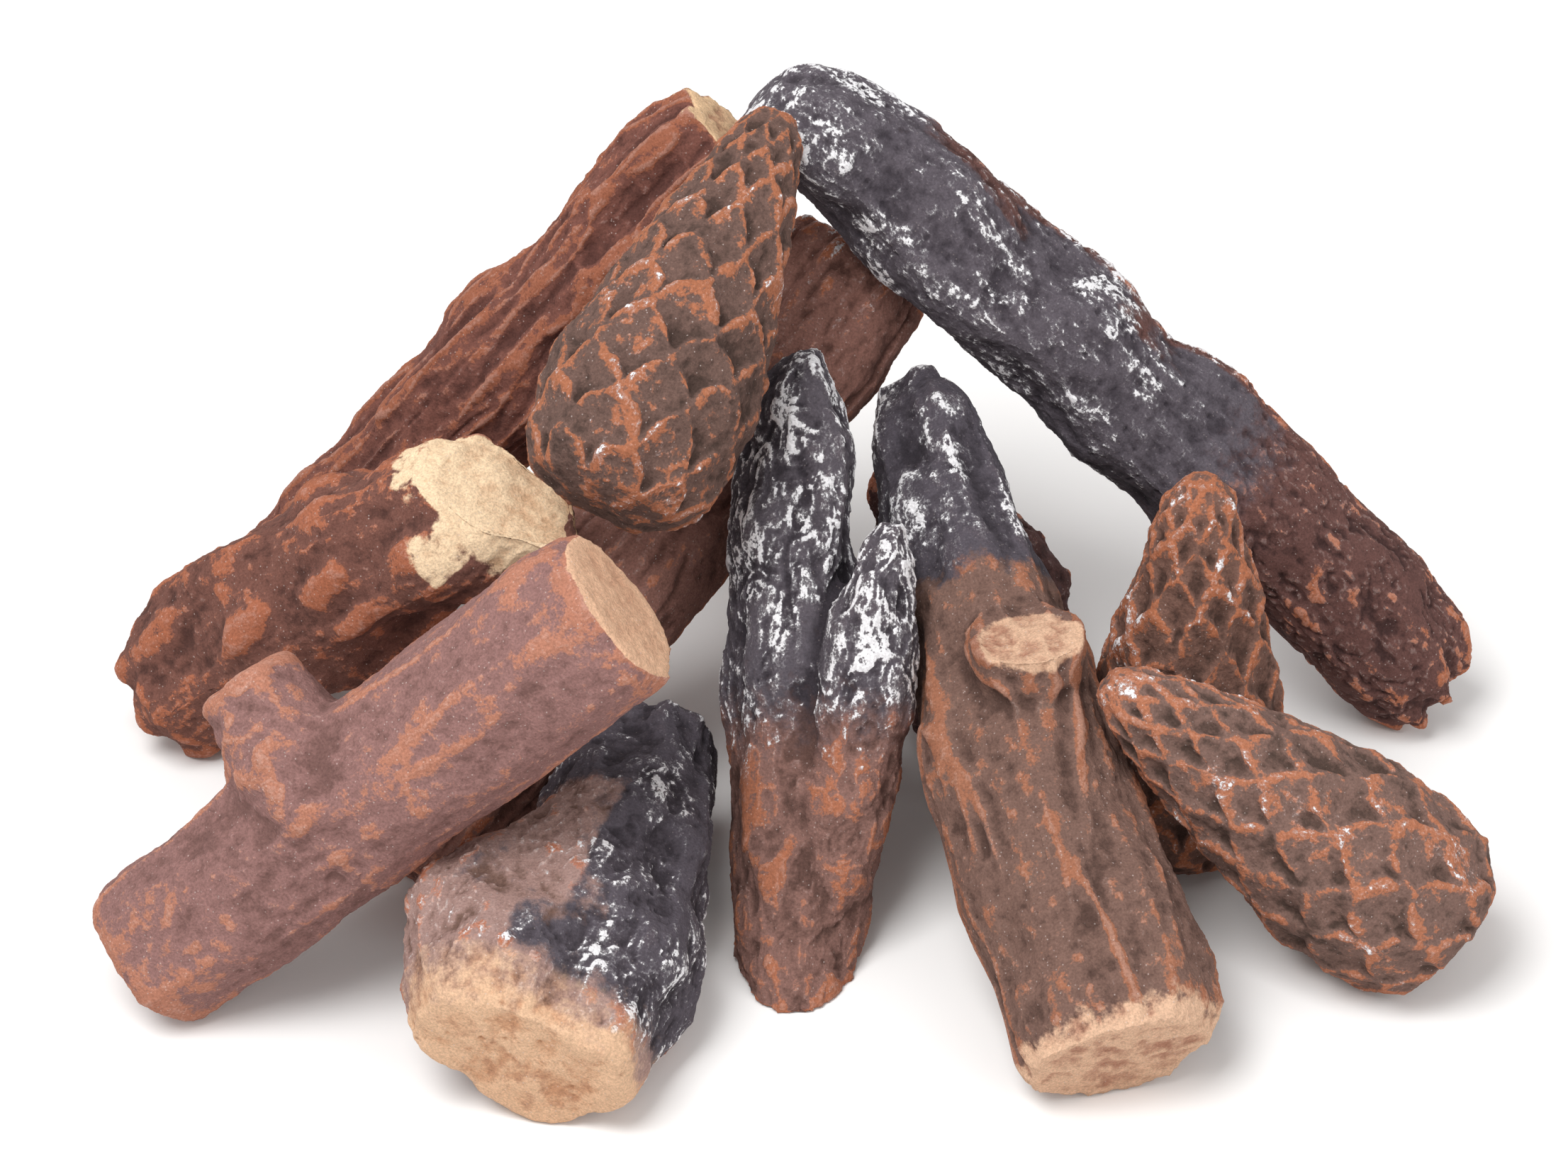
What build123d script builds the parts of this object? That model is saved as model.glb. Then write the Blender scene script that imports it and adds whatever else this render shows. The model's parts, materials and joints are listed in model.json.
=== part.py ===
"""Gas log set: nine cast logs and three cast pine cones, stacked in a pile that stands on the hearth.

Each casting is drawn in its own frame: X to its right, Y to its back, Z along it from its lower end.
Its seat is the plane that this frame takes in the pile: the casting leans on its lower end, slides
forward to the castings seated before it and stops a resting gap short of the first that it would touch.
Lengths are in millimetres and angles in degrees. A profile is a table of shares with one row for each
station: the share of the length, then the reach to the left, right, front and back as shares of the
half width or the half depth.
"""

from build123d import *
import math
import os

import numpy as np

os.makedirs("parts", exist_ok=True)

# What all castings share
resting_gap = 0.5
approach_step = 4.0
foot_cut = 1.2
log_corners = 24
log_ring_pitch = 13.0
stub_corners = 14
end_ramp_share = 0.3

# Cast bark: shares of its height in lengthwise furrows and in cross waves
furrow_share = 0.6
cross_share = 0.4

# Lumps and hollows between which the bark runs: crossing waves, with one row for each: how many waves it
# makes to the right, to the back and along in one pitch, and how far it starts into a wave
lump_pitch = 42.0
lump_wave_shares = (
    (0.30, 0.20, 0.90, 0.13),
    (-0.50, 0.40, 0.70, 0.37),
    (0.60, -0.60, 0.50, 0.71),
    (0.20, 0.80, -0.60, 0.29),
    (0.80, 0.30, 0.40, 0.53),
)

# Rear left log: long, with deep lengthwise bark and a sawn top
rear_left_length = 258.0
rear_left_width = 52.0
rear_left_depth = 46.0
rear_left_bark = 2.8
rear_left_lumps = 4.0
rear_left_furrows = 8
rear_left_foot = (-197.0, 40.0)
rear_left_heading = 4.5
rear_left_lean = 48.8
rear_left_roll = 62.0
rear_left_profile_shares = (
    (0.00, 1.04, 0.76, 0.84, 0.84),
    (0.03, 1.16, 0.88, 0.96, 0.96),
    (0.30, 1.22, 0.92, 1.00, 1.00),
    (0.45, 1.18, 0.92, 1.00, 1.00),
    (0.60, 1.10, 0.92, 0.96, 1.00),
    (0.80, 1.12, 0.90, 0.96, 0.96),
    (0.95, 1.04, 0.86, 0.88, 0.92),
    (1.00, 0.94, 0.78, 0.76, 0.84),
)

# Rear right log: the longest, charred, with a flat cast side and a splintered foot
rear_right_length = 320.0
rear_right_width = 55.0
rear_right_depth = 48.0
rear_right_bark = 1.4
rear_right_lumps = 5.2
rear_right_furrows = 6
rear_right_splinters = 4.0
rear_right_foot = (227.0, 0.0)
rear_right_heading = 168.0
rear_right_lean = 41.5
rear_right_roll = -62.0
rear_right_profile_shares = (
    (0.00, 0.52, 0.68, 0.55, 0.70),
    (0.04, 0.64, 0.98, 0.80, 0.90),
    (0.12, 0.68, 1.22, 1.00, 1.00),
    (0.30, 0.68, 1.32, 1.00, 1.00),
    (0.60, 0.68, 1.24, 1.00, 1.00),
    (0.85, 0.68, 1.12, 0.98, 1.00),
    (0.94, 0.66, 0.98, 0.92, 0.96),
    (0.98, 0.58, 0.76, 0.74, 0.80),
    (1.00, 0.40, 0.48, 0.42, 0.48),
)

# Rear centre log: dark, runs from the front left up to the back, under the rear right log
rear_centre_length = 260.0
rear_centre_width = 60.0
rear_centre_depth = 50.0
rear_centre_bark = 1.6
rear_centre_lumps = 2.6
rear_centre_furrows = 7
rear_centre_foot = (-137.0, -102.0)
rear_centre_heading = 45.5
rear_centre_lean = 30.5
rear_centre_roll = 30.0
rear_centre_profile_shares = (
    (0.00, 0.80, 0.84, 0.80, 0.84),
    (0.03, 0.96, 0.96, 0.94, 0.96),
    (0.35, 1.00, 1.00, 1.00, 1.00),
    (0.70, 0.96, 1.00, 1.00, 1.00),
    (0.97, 0.98, 1.02, 0.96, 1.00),
    (1.00, 0.90, 0.96, 0.88, 0.92),
)

# Left log: short and thick, with rounded lumps, a domed foot and a slanting broken face at its top
left_length = 182.0
left_width = 62.0
left_depth = 54.0
left_bark = 2.4
left_lumps = 5.0
left_furrows = 5
left_break_slope_shares = (0.50, 0.30)
left_foot = (-230.0, -7.0)
left_heading = -18.0
left_lean = 39.5
left_roll = 75.0
left_approach_heading = 30.0
left_profile_shares = (
    (0.00, 0.40, 0.34, 0.34, 0.34),
    (0.03, 0.76, 0.66, 0.62, 0.66),
    (0.10, 1.04, 0.88, 0.88, 0.90),
    (0.30, 1.26, 0.98, 1.00, 1.00),
    (0.60, 1.18, 0.95, 1.00, 1.00),
    (0.85, 1.08, 0.86, 0.94, 0.96),
    (0.97, 0.90, 0.80, 0.82, 0.84),
    (1.00, 0.80, 0.74, 0.72, 0.74),
)

# Branched log: smooth bark, sawn square, with one short thick branch stub
branched_length = 205.0
branched_width = 54.0
branched_depth = 48.0
branched_bark = 0.7
branched_lumps = 1.6
branched_furrows = 7
branched_foot = (-208.0, -143.0)
branched_heading = 3.0
branched_lean = 39.3
branched_roll = 58.0
branched_approach_heading = 0.0
branched_profile_shares = (
    (0.00, 0.82, 0.92, 0.80, 0.84),
    (0.02, 0.92, 1.04, 0.94, 0.96),
    (0.10, 0.96, 1.09, 1.00, 1.00),
    (0.50, 1.06, 1.02, 1.00, 1.00),
    (0.90, 1.16, 0.95, 1.00, 1.00),
    (0.97, 1.08, 0.93, 0.98, 0.98),
    (1.00, 0.98, 0.86, 0.88, 0.90),
)
branch_stub_width = 44.0
branch_stub_depth = 36.0
branch_stub_reach = 52.0
branch_stub_station_share = 0.42
branch_stub_shares = ((0.0, 1.3), (0.5, 1.28), (0.62, 1.12), (0.8, 1.0), (1.0, 0.86))

# Forked log: stands on a foot cut level with the hearth, with a short limb beside the long one
forked_length = 220.0
forked_width = 48.0
forked_depth = 44.0
forked_bark = 1.3
forked_lumps = 2.8
forked_furrows = 6
forked_foot = (3.0, -140.5)
forked_foot_cut = 28.0
forked_heading = 88.0
forked_lean = 50.5
forked_profile_shares = (
    (0.00, 0.90, 0.84, 1.00, 1.00),
    (0.26, 0.94, 0.94, 1.00, 1.00),
    (0.45, 1.01, 0.94, 1.04, 1.00),
    (0.59, 1.09, 0.84, 1.06, 1.00),
    (0.72, 1.05, 0.75, 1.04, 1.00),
    (0.83, 0.98, 0.66, 0.94, 0.92),
    (0.93, 0.74, 0.46, 0.76, 0.76),
    (0.97, 0.46, 0.32, 0.54, 0.56),
    (1.00, 0.20, 0.20, 0.26, 0.28),
)
fork_limb_width = 35.0
fork_limb_base = (6.0, 0.0, 10.0)
fork_limb_tip = (29.0, -26.0, 160.0)
fork_limb_shares = ((0.0, 0.8), (0.3, 0.93), (0.6, 1.03), (0.8, 0.88), (0.93, 0.55), (1.0, 0.25))

# Split log: wide and low, bark on one side and a charred split face on the other
split_length = 150.0
split_width = 94.0
split_depth = 57.0
split_bark = 1.6
split_lumps = 4.4
split_furrows = 7
split_foot = (-75.0, -208.0)
split_heading = 76.0
split_lean = 8.0
split_roll = 25.0
split_profile_shares = (
    (0.00, 0.86, 0.54, 0.80, 0.86),
    (0.04, 1.00, 0.64, 0.92, 0.96),
    (0.12, 1.14, 0.74, 1.00, 1.00),
    (0.27, 1.24, 0.82, 1.00, 1.00),
    (0.42, 1.02, 0.78, 0.98, 1.00),
    (0.62, 0.70, 0.66, 0.86, 0.94),
    (0.85, 0.56, 0.50, 0.66, 0.80),
    (1.00, 0.36, 0.32, 0.44, 0.54),
)

# Knotted log: lengthwise bark, a sawn foot, one sawn knot and a charred top
knotted_length = 258.0
knotted_width = 68.0
knotted_depth = 56.0
knotted_bark = 2.2
knotted_lumps = 2.6
knotted_furrows = 7
knotted_foot = (105.0, -198.0)
knotted_heading = 104.0
knotted_lean = 22.5
knotted_roll = -8.0
knotted_profile_shares = (
    (0.00, 0.88, 0.74, 0.86, 0.90),
    (0.04, 0.97, 1.00, 0.96, 0.98),
    (0.10, 1.00, 1.09, 1.00, 1.00),
    (0.20, 1.04, 0.95, 1.00, 1.00),
    (0.38, 1.14, 0.84, 1.00, 1.00),
    (0.55, 0.92, 0.76, 1.00, 1.00),
    (0.75, 0.86, 0.58, 0.92, 1.00),
    (0.92, 0.74, 0.46, 0.80, 0.90),
    (1.00, 0.46, 0.20, 0.50, 0.60),
)
knot_width = 40.0
knot_base = (2.0, -4.0, 122.0)
knot_face = (4.0, -34.0, 137.0)
knot_shares = ((0.0, 1.0), (1.0, 1.0))

# Short log: dark and jagged, leans behind the knotted log
short_length = 92.0
short_width = 60.0
short_depth = 40.0
short_bark = 2.0
short_lumps = 3.0
short_furrows = 6
short_break_slope_shares = (-0.60, 0.20)
short_splinters = 5.0
short_foot = (103.0, -25.0)
short_heading = 112.0
short_lean = 46.0
short_roll = -10.0
short_approach_heading = 180.0
short_profile_shares = (
    (0.00, 0.90, 0.48, 0.84, 0.90),
    (0.05, 1.00, 0.60, 0.94, 1.00),
    (0.30, 1.00, 1.00, 1.00, 1.00),
    (0.55, 1.00, 1.26, 1.00, 1.00),
    (0.90, 0.86, 1.00, 0.90, 0.90),
    (1.00, 0.60, 0.70, 0.60, 0.60),
)

# Pine cones: one mould, with interleaved rows of scales that shrink towards the tip. Each scale rises
# to its free edges, which look to the tip and to the sides.
cone_length = 144.0
cone_width = 71.0
cone_scale_rise = 4.4
cone_scales_around = 9
cone_scale_rows = 11
cone_base_row_share = 1.25
cone_facets_per_scale = 4
cone_swell_share = 0.55
cone_profile_shares = (
    (0.00, 0.42),
    (0.04, 0.76),
    (0.10, 0.92),
    (0.22, 1.00),
    (0.34, 0.98),
    (0.50, 0.85),
    (0.70, 0.64),
    (0.85, 0.47),
    (0.95, 0.34),
    (1.00, 0.16),
)
top_cone_foot = (-59.0, -72.0, 140.0)
top_cone_heading = 58.5
top_cone_lean = 39.5
top_cone_roll = 0.0
top_cone_approach_heading = 90.0
top_cone_approach_fall = 35.0
right_cone_foot = (134.0, -48.0)
right_cone_heading = 97.0
right_cone_lean = 87.0
right_cone_roll = 0.0
right_cone_approach_heading = 270.0
front_cone_foot = (215.0, -132.0)
front_cone_heading = 168.0
front_cone_lean = 35.5
front_cone_roll = 20.0
front_cone_approach_heading = 130.0


def along_table(shares, station, column=1):
    """Value of one column of a table of shares at a station between 0 and 1."""
    rows = np.array(shares)
    return np.interp(station, rows[:, 0], rows[:, column])


def bark_wave(turn, station, furrows):
    """Height of cast bark between -1 and 1: lengthwise furrows broken up by slower waves."""
    wander = math.pi * station
    furrow = np.cos(furrows * turn + math.sin(2 * wander))
    cross = np.cos((furrows - 2) * turn - 4 * wander)
    return furrow_share * furrow + cross_share * cross


def lump_wave(x, y, z, furrows):
    """Height of cast lumps between -1 and 1 at points of a log's frame; each count of furrows has its own."""
    waves = []
    for across, through, along, start in lump_wave_shares:
        passed = (across * x + through * y + along * z) / lump_pitch
        waves.append(np.cos(2 * math.pi * (passed + start * furrows)))
    return sum(waves) / len(waves)


def log_skin(length, width, depth, bark, lumps, furrows, profile, top_slopes=(0, 0), foot_splinters=0,
             top_splinters=0):
    """Rings of corners of one log in its own frame, from its lower end to its upper end.

    The slopes tilt the top face: millimetres along the log for each millimetre to the right and to the back.
    """
    turn = np.linspace(0, 2 * math.pi, log_corners, endpoint=False)
    across, through = np.cos(turn), np.sin(turn)
    ends = [row[0] for row in profile]
    between = np.linspace(ends[1], ends[-2], round(length * (ends[-2] - ends[1]) / log_ring_pitch) + 1)
    skin = []
    for station in np.unique(np.concatenate([ends, between])):
        left, right, front, back = (along_table(profile, station, column) for column in (1, 2, 3, 4))
        x = np.where(across > 0, right, left) * width / 2 * across
        y = np.where(through > 0, back, front) * depth / 2 * through
        relief = bark * bark_wave(turn, station, furrows) + lumps * lump_wave(x, y, length * station, furrows)
        x, y = x + relief * across, y + relief * through
        near_foot = max(0, 1 - station / end_ramp_share)
        near_top = max(0, 1 - (1 - station) / end_ramp_share)
        tilt = near_top * (top_slopes[0] * x + top_slopes[1] * y)
        tilt += (foot_splinters * near_foot + top_splinters * near_top) * np.sin(furrows * turn)
        skin.append(np.stack([x, y, length * station + tilt], axis=1))
    return np.array(skin)


def stub_skin(base, tip, width, depth, shares):
    """Rings of corners of a stub that grows inside a log's frame, from a base point to a tip point."""
    base, tip = np.array(base), np.array(tip)
    along = (tip - base) / np.linalg.norm(tip - base)
    side = np.cross(along, (0, 1, 0) if abs(along[1]) < abs(along[2]) else (0, 0, 1))
    side /= np.linalg.norm(side)
    up = np.cross(along, side)
    turn = np.linspace(0, 2 * math.pi, stub_corners, endpoint=False)[:, None]
    skin = []
    for station, share in shares:
        ring = width / 2 * np.cos(turn) * side + depth / 2 * np.sin(turn) * up
        skin.append(base + station * (tip - base) + share * ring)
    return np.array(skin)


def scale_rise(across, along):
    """Rise of the scales as a share, at a count of half scales round the cone and a count of their rows."""
    right, left = (along + across) / 2, (along - across) / 2
    right, left = right - np.ceil(right) + 1, left - np.ceil(left) + 1
    return cone_swell_share * (right + left) / 2 + (1 - cone_swell_share) * np.maximum(right, left)


def cone_skin():
    """Rings of corners of a pine cone, from its base to its tip, with two rings for each row of scales."""
    corners = cone_facets_per_scale * cone_scales_around
    across = np.arange(corners) * 2 / cone_facets_per_scale
    turn = np.linspace(0, 2 * math.pi, corners, endpoint=False)
    skin = []
    for along in np.arange(2 * cone_scale_rows + 1) / 2:
        station = 1 - (1 - along / cone_scale_rows) ** cone_base_row_share
        share = along_table(cone_profile_shares, station)
        hollow = 1 - scale_rise(across, along)
        radius = share * cone_width / 2 - cone_scale_rise * min(1, 2 * share) * hollow
        x, y = radius * np.cos(turn), radius * np.sin(turn)
        skin.append(np.stack([x, y, np.full(corners, cone_length * station)], axis=1))
    return np.array(skin)


def axes_of(heading, lean, roll):
    """Right, back and along directions of a casting whose length leans up towards a heading."""
    h, l, r = (math.radians(angle) for angle in (heading, lean, roll))
    along = np.array([math.cos(l) * math.cos(h), math.cos(l) * math.sin(h), math.sin(l)])
    under = np.array([math.sin(l) * math.cos(h), math.sin(l) * math.sin(h), -math.cos(l)])
    side = np.cross(under, along)
    right = side * math.cos(r) + under * math.sin(r)
    back = under * math.cos(r) - side * math.sin(r)
    return right, back, along


def facets_of(skin):
    """Triangles of a skin: two in each cell of its rings, and a fan over each end."""
    count = skin.shape[1]
    triangles = []
    for near, far in zip(skin[:-1], skin[1:]):
        for i in range(count):
            j = (i + 1) % count
            a, b, c, d = near[i], near[j], far[j], far[i]
            if np.linalg.norm(a - c) < np.linalg.norm(b - d):
                triangles += [(a, b, c), (a, c, d)]
            else:
                triangles += [(a, b, d), (b, c, d)]
    for ring in (skin[0][::-1], skin[-1]):
        hub = ring.mean(axis=0)
        triangles += [(ring[i], ring[(i + 1) % count], hub) for i in range(count)]
    return np.array(triangles)


def heights_over(points, triangles):
    """Heights of flat facets over points, for the pairs that stand over each other, and the facets' turns."""
    start = triangles[:, 0]
    first, second = triangles[:, 1] - start, triangles[:, 2] - start
    area = first[:, 0] * second[:, 1] - first[:, 1] * second[:, 0]
    seen = np.abs(area) > 0
    start, first, second, area = start[seen], first[seen], second[seen], area[seen]
    offset = points[:, None, :] - start[None, :, :]
    s = (offset[..., 0] * second[:, 1] - offset[..., 1] * second[:, 0]) / area
    t = (first[:, 0] * offset[..., 1] - first[:, 1] * offset[..., 0]) / area
    over = (s >= 0) & (t >= 0) & (s + t <= 1)
    return np.where(over, s * first[:, 2] + t * second[:, 2] - offset[..., 2], np.nan), np.sign(area)


def corner_clearances(points, triangles):
    """Heights of flat facets over the points that stand under or over them."""
    heights = heights_over(points, triangles)[0]
    return heights[~np.isnan(heights)]


def edge_clearances(near, far):
    """Heights of the far edges over the near edges that they cross, seen along the height."""
    n, m = near[:, None, 1] - near[:, None, 0], far[None, :, 1] - far[None, :, 0]
    offset = far[None, :, 0] - near[:, None, 0]
    twist = n[..., 0] * m[..., 1] - n[..., 1] * m[..., 0]
    with np.errstate(divide="ignore", invalid="ignore"):
        a = (offset[..., 0] * m[..., 1] - offset[..., 1] * m[..., 0]) / twist
        b = (offset[..., 0] * n[..., 1] - offset[..., 1] * n[..., 0]) / twist
        crossed = (a >= 0) & (a <= 1) & (b >= 0) & (b <= 1)
        return (offset[..., 2] + b * m[..., 2] - a * n[..., 2])[crossed]


def edges_of(triangles):
    """Edges of the triangles of a closed skin, each once, with its two ends."""
    edges = np.concatenate([triangles[:, [0, 1]], triangles[:, [1, 2]], triangles[:, [2, 0]]])
    return edges[edges[:, 0, 0] < edges[:, 1, 0]]


def corners_of(triangles):
    """Corners of triangles, each once."""
    return np.unique(triangles.reshape(-1, 3), axis=0)


def within(triangles, others):
    """The triangles that, seen along the height, lie in the box around the others."""
    low, high = others.min(axis=(0, 1))[:2], others.max(axis=(0, 1))[:2]
    inside = (triangles.max(axis=1)[:, :2] >= low) & (triangles.min(axis=1)[:, :2] <= high)
    return triangles[inside.all(axis=1)]


def reaches_into(moving, fixed):
    """Whether a corner of one casting lies inside the skin of the other."""
    for one, other in ((moving, fixed), (fixed, moving)):
        heights, turns = heights_over(corners_of(one), other)
        with np.errstate(invalid="ignore"):
            wraps = np.where(heights > 0, turns, 0).sum(axis=1)
        if (wraps > 0).any():
            return True
    return False


def travel_to_touch(moving, fixed, toward):
    """How far a casting travels forward from where it stands until it first touches another.

    A casting that reaches into the other has no forward travel, and gets less than nothing.
    """
    aside = np.cross(toward, (0, 0, 1) if abs(toward[2]) < abs(toward[0]) + abs(toward[1]) else (1, 0, 0))
    aside /= np.linalg.norm(aside)
    basis = np.array([aside, np.cross(toward, aside), toward]).T
    moving, fixed = moving @ basis, fixed @ basis
    fixed = within(fixed, moving)
    if not len(fixed):
        return math.inf
    moving = within(moving, fixed)
    if not len(moving):
        return math.inf
    if reaches_into(moving, fixed):
        return -1
    clearances = np.concatenate([
        corner_clearances(corners_of(moving), fixed),
        -corner_clearances(corners_of(fixed), moving),
        edge_clearances(edges_of(moving), edges_of(fixed)),
    ])
    ahead = clearances[clearances > 0]
    return ahead.min() if len(ahead) else math.inf


seats = {}
standing = {}


def seat(name, skins, heading, lean, roll, foot, approach=None, cut=foot_cut):
    """Lean a casting on its foot, slide it along its approach up to the others, and keep its seat.

    The approach is a heading and how steeply it falls. A casting that has no room where it stands starts
    some steps further back. The cut is how far the lowest corner reaches below the hearth, to be cut off
    there, but a foot with a height of its own keeps that height.
    """
    right, back, along = axes_of(heading, lean, roll)
    facets = np.concatenate([facets_of(skin) for skin in skins]) @ np.array([right, back, along])
    origin = np.array([foot[0], foot[1], foot[2] if len(foot) == 3 else -facets[..., 2].min() - cut])
    if approach:
        h, f = (math.radians(angle) for angle in approach)
        toward = np.array([math.cos(f) * math.cos(h), math.cos(f) * math.sin(h), -math.sin(f)])
        travel = -1
        while travel < 0:
            travel = min(travel_to_touch(facets + origin, other, toward) for other in standing.values())
            origin = origin + toward * (travel - resting_gap if travel > 0 else -approach_step)
    standing[name] = facets + origin
    seats[name] = Plane(origin=tuple(origin), x_dir=tuple(right), z_dir=tuple(along))


# Skins of the castings
rear_right_skin = log_skin(rear_right_length, rear_right_width, rear_right_depth, rear_right_bark,
                           rear_right_lumps, rear_right_furrows, rear_right_profile_shares,
                           foot_splinters=rear_right_splinters)
rear_left_skin = log_skin(rear_left_length, rear_left_width, rear_left_depth, rear_left_bark, rear_left_lumps,
                          rear_left_furrows, rear_left_profile_shares)
rear_centre_skin = log_skin(rear_centre_length, rear_centre_width, rear_centre_depth, rear_centre_bark,
                            rear_centre_lumps, rear_centre_furrows, rear_centre_profile_shares)
knotted_skin = log_skin(knotted_length, knotted_width, knotted_depth, knotted_bark, knotted_lumps,
                        knotted_furrows, knotted_profile_shares)
knot_skin = stub_skin(knot_base, knot_face, knot_width, knot_width, knot_shares)
short_skin = log_skin(short_length, short_width, short_depth, short_bark, short_lumps, short_furrows,
                      short_profile_shares, top_slopes=short_break_slope_shares, top_splinters=short_splinters)
split_skin = log_skin(split_length, split_width, split_depth, split_bark, split_lumps, split_furrows,
                      split_profile_shares)
left_skin = log_skin(left_length, left_width, left_depth, left_bark, left_lumps, left_furrows,
                     left_profile_shares, top_slopes=left_break_slope_shares)
branched_skin = log_skin(branched_length, branched_width, branched_depth, branched_bark, branched_lumps,
                         branched_furrows, branched_profile_shares)
branch_stub_base = (0, 0, branch_stub_station_share * branched_length)
branch_stub_tip = (-branch_stub_reach, 0, branch_stub_station_share * branched_length)
branch_stub_skin = stub_skin(branch_stub_base, branch_stub_tip, branch_stub_width, branch_stub_depth,
                             branch_stub_shares)
forked_skin = log_skin(forked_length, forked_width, forked_depth, forked_bark, forked_lumps, forked_furrows,
                       forked_profile_shares)
fork_limb_skin = stub_skin(fork_limb_base, fork_limb_tip, fork_limb_width, fork_limb_width, fork_limb_shares)
pine_cone_skin = cone_skin()

# Seats, in the order in which the pile is stacked
seat("rear_right_log", [rear_right_skin], rear_right_heading, rear_right_lean, rear_right_roll,
     rear_right_foot)
seat("rear_left_log", [rear_left_skin], rear_left_heading, rear_left_lean, rear_left_roll, rear_left_foot,
     (rear_left_heading, 0))
seat("rear_centre_log", [rear_centre_skin], rear_centre_heading, rear_centre_lean, rear_centre_roll,
     rear_centre_foot, (rear_centre_heading, 0))
seat("knotted_log", [knotted_skin, knot_skin], knotted_heading, knotted_lean, knotted_roll, knotted_foot,
     (knotted_heading, 0))
seat("short_log", [short_skin], short_heading, short_lean, short_roll, short_foot,
     (short_approach_heading, 0))
seat("split_log", [split_skin], split_heading, split_lean, split_roll, split_foot, (split_heading, 0))
seat("left_log", [left_skin], left_heading, left_lean, left_roll, left_foot, (left_approach_heading, 0))
seat("branched_log", [branched_skin, branch_stub_skin], branched_heading, branched_lean, branched_roll,
     branched_foot, (branched_approach_heading, 0))
seat("forked_log", [forked_skin, fork_limb_skin], forked_heading, forked_lean, 0, forked_foot,
     (forked_heading, 0), cut=forked_foot_cut)
seat("top_pine_cone", [pine_cone_skin], top_cone_heading, top_cone_lean, top_cone_roll, top_cone_foot,
     (top_cone_approach_heading, top_cone_approach_fall))
seat("front_pine_cone", [pine_cone_skin], front_cone_heading, front_cone_lean, front_cone_roll,
     front_cone_foot, (front_cone_approach_heading, 0))
seat("right_pine_cone", [pine_cone_skin], right_cone_heading, right_cone_lean, right_cone_roll,
     right_cone_foot, (right_cone_approach_heading, 0))

# The origin of the pile is the middle of its footprint, on the hearth
corners = np.concatenate(list(standing.values())).reshape(-1, 3)
corners = corners[corners[:, 2] > 0]
middle = (corners.min(axis=0) + corners.max(axis=0)) / 2
for name, plane in seats.items():
    seats[name] = Plane(plane.origin - Vector(middle[0], middle[1], 0), plane.x_dir, plane.z_dir)


class CastSkin(BasePartObject):
    """Part Object: the closed skin of a casting, of flat facets through rings of corners."""

    _applies_to = [BuildPart._tag]

    def __init__(self, skin, rotation=(0, 0, 0), align=None, mode=Mode.ADD):
        facets = [Face(Wire.make_polygon([tuple(corner) for corner in facet])) for facet in facets_of(skin)]
        super().__init__(part=Solid(Shell(facets)).clean(), rotation=rotation, align=align, mode=mode)


with BuildPart(seats["rear_right_log"]) as rear_right_log:
    CastSkin(rear_right_skin)
    split(bisect_by=Plane.XY, keep=Keep.TOP)
rear_right_log.part.label = "rear_right_log"
export_step(rear_right_log.part, "parts/rear_right_log.step")

with BuildPart(seats["rear_left_log"]) as rear_left_log:
    CastSkin(rear_left_skin)
    split(bisect_by=Plane.XY, keep=Keep.TOP)
rear_left_log.part.label = "rear_left_log"
export_step(rear_left_log.part, "parts/rear_left_log.step")

with BuildPart(seats["rear_centre_log"]) as rear_centre_log:
    CastSkin(rear_centre_skin)
    split(bisect_by=Plane.XY, keep=Keep.TOP)
rear_centre_log.part.label = "rear_centre_log"
export_step(rear_centre_log.part, "parts/rear_centre_log.step")

with BuildPart(seats["knotted_log"]) as knotted_log:
    CastSkin(knotted_skin)
    CastSkin(knot_skin)
    split(bisect_by=Plane.XY, keep=Keep.TOP)
knotted_log.part.label = "knotted_log"
export_step(knotted_log.part, "parts/knotted_log.step")

with BuildPart(seats["short_log"]) as short_log:
    CastSkin(short_skin)
    split(bisect_by=Plane.XY, keep=Keep.TOP)
short_log.part.label = "short_log"
export_step(short_log.part, "parts/short_log.step")

with BuildPart(seats["split_log"]) as split_log:
    CastSkin(split_skin)
    split(bisect_by=Plane.XY, keep=Keep.TOP)
split_log.part.label = "split_log"
export_step(split_log.part, "parts/split_log.step")

with BuildPart(seats["left_log"]) as left_log:
    CastSkin(left_skin)
    split(bisect_by=Plane.XY, keep=Keep.TOP)
left_log.part.label = "left_log"
export_step(left_log.part, "parts/left_log.step")

with BuildPart(seats["branched_log"]) as branched_log:
    CastSkin(branched_skin)
    CastSkin(branch_stub_skin)
    split(bisect_by=Plane.XY, keep=Keep.TOP)
branched_log.part.label = "branched_log"
export_step(branched_log.part, "parts/branched_log.step")

with BuildPart(seats["forked_log"]) as forked_log:
    CastSkin(forked_skin)
    CastSkin(fork_limb_skin)
    split(bisect_by=Plane.XY, keep=Keep.TOP)
forked_log.part.label = "forked_log"
export_step(forked_log.part, "parts/forked_log.step")

with BuildPart(seats["top_pine_cone"]) as top_pine_cone:
    CastSkin(pine_cone_skin)
top_pine_cone.part.label = "top_pine_cone"
export_step(top_pine_cone.part, "parts/top_pine_cone.step")

with BuildPart(seats["front_pine_cone"]) as front_pine_cone:
    CastSkin(pine_cone_skin)
    split(bisect_by=Plane.XY, keep=Keep.TOP)
front_pine_cone.part.label = "front_pine_cone"
export_step(front_pine_cone.part, "parts/front_pine_cone.step")

with BuildPart(seats["right_pine_cone"]) as right_pine_cone:
    CastSkin(pine_cone_skin)
    split(bisect_by=Plane.XY, keep=Keep.TOP)
right_pine_cone.part.label = "right_pine_cone"
export_step(right_pine_cone.part, "parts/right_pine_cone.step")
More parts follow.
